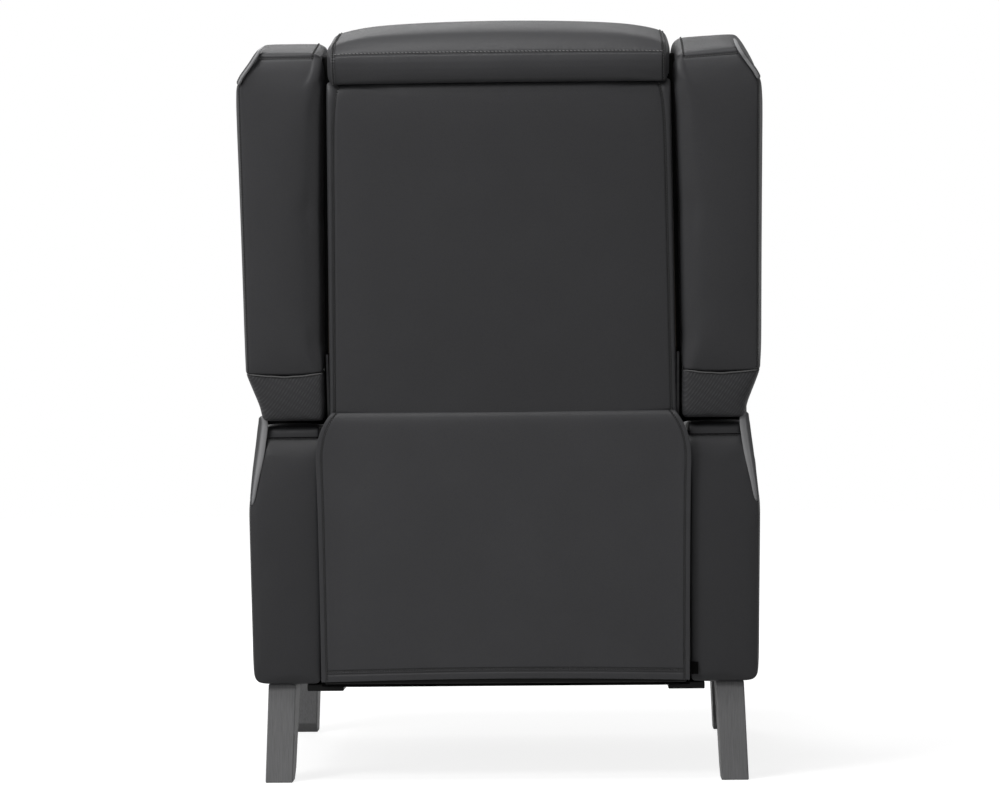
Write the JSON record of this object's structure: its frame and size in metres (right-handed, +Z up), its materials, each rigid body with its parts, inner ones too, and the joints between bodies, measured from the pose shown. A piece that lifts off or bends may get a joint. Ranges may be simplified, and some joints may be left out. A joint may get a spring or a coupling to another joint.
{
  "type": "gaming recliner armchair",
  "caption": "Upholstered recliner with padded arms, winged back with head roll, cloth rear flap, splayed legs and a footrest that swings out on flat steel links.",
  "frame": {"origin": "on the floor, under the middle of the chair's overall box", "axes": "+Z up, -Y towards where the sitter faces, +X to the sitter's left"},
  "size_m": [0.69, 0.8279, 1.0213],
  "materials": {
    "leather": "fine-grained grey synthetic leather, satin",
    "welt": "flat light-grey welt, satin",
    "patterned": "synthetic leather pressed with a fine weave, satin",
    "cloth": "coated cloth, matt",
    "leg": "grey stained, brushed along the grain",
    "black_steel": "black powder coat",
    "zinc": "zinc plated",
    "timber": "raw plywood",
    "spring_steel": "plain spring steel"
  },
  "bodies": {
    "base": {"arm_left": "leather", "arm_right": "leather", "arm_pad_left": "leather", "arm_pad_right": "leather", "arm_front_left": "leather", "arm_front_right": "leather", "arm_welt_left": "welt", "arm_welt_right": "welt", "leg_rear_left": "leg", "leg_rear_right": "leg", "leg_front_left": "leg", "leg_front_right": "leg", "base_rail_left": "black_steel", "base_rail_right": "black_steel", "base_tube_rear": "black_steel", "base_tube_front": "black_steel", "side_plate_left": "zinc", "side_plate_right": "zinc", "pivot_bolt_left": "zinc", "pivot_bolt_right": "zinc", "seat_rail_front": "timber", "seat_rail_rear": "timber", "seat_rail_left": "timber", "seat_rail_right": "timber", "seat_beam": "black_steel", "seat_springs": "spring_steel", "seat_cushion": "leather", "rear_flap": "cloth"},
    "back": {"back_upright_left": "timber", "back_upright_right": "timber", "back_rail_low": "timber", "back_rail_middle": "timber", "back_rail_top": "timber", "back_bracket_left": "zinc", "back_bracket_right": "zinc", "back_panel": "leather", "lumbar_cushion": "leather", "shoulder_cushion": "leather", "head_cushion": "leather", "head_roll": "leather", "wing_left": "leather", "wing_right": "leather", "wing_pad_left": "patterned", "wing_pad_right": "patterned", "wing_welt_left": "welt", "wing_welt_right": "welt"},
    "lift_links": {"lift_link_left": "zinc", "lift_link_right": "zinc", "lift_tube": "black_steel"},
    "carry_links": {"carry_link_left": "zinc", "carry_link_right": "zinc", "carry_tube": "black_steel"},
    "guide_links": {"guide_link_left": "zinc", "guide_link_right": "zinc"},
    "tilt_links": {"tilt_link_left": "zinc", "tilt_link_right": "zinc"},
    "footrest": {"footrest_bracket_left": "zinc", "footrest_bracket_right": "zinc", "footrest_board": "timber", "footrest_pad": "leather"}
  },
  "joints": [
    {"name": "back_recline", "type": "hinge", "parent": "base", "child": "back", "pos_m": [0, 0.18, 0.3], "axis": [-1, 0, 0], "range_deg": [0, 55], "deforming": ["rear_flap"]},
    {"name": "footrest_extend", "type": "hinge", "parent": "base", "child": "lift_links", "pos_m": [0, -0.253, 0.2745], "axis": [-1, 0, 0], "range_deg": [0, 119]},
    {"name": "carry_swing", "type": "hinge", "parent": "lift_links", "child": "carry_links", "pos_m": [0, -0.1367, 0.16755], "axis": [-1, 0, 0], "range_deg": [-119.1, 0]},
    {"name": "footrest_turn", "type": "hinge", "parent": "carry_links", "child": "footrest", "pos_m": [0, -0.33747, 0.2499], "axis": [-1, 0, 0], "range_deg": [0, 95.1]},
    {"name": "guide_swing", "type": "hinge", "parent": "base", "child": "guide_links", "pos_m": [0, -0.31314, 0.29917], "axis": [-1, 0, 0], "range_deg": [0, 119.1]},
    {"name": "tilt_swing", "type": "hinge", "parent": "lift_links", "child": "tilt_links", "pos_m": [0, -0.15841, 0.18752], "axis": [-1, 0, 0], "range_deg": [-124.8, 0]}
  ],
  "couplings": [
    {"joint": "carry_swing", "follows": "footrest_extend", "ratio": -1},
    {"joint": "footrest_turn", "follows": "footrest_extend", "ratio": 0.7983},
    {"joint": "guide_swing", "follows": "footrest_extend", "ratio": 1},
    {"joint": "tilt_swing", "follows": "footrest_extend", "ratio": -1.047}
  ]
}
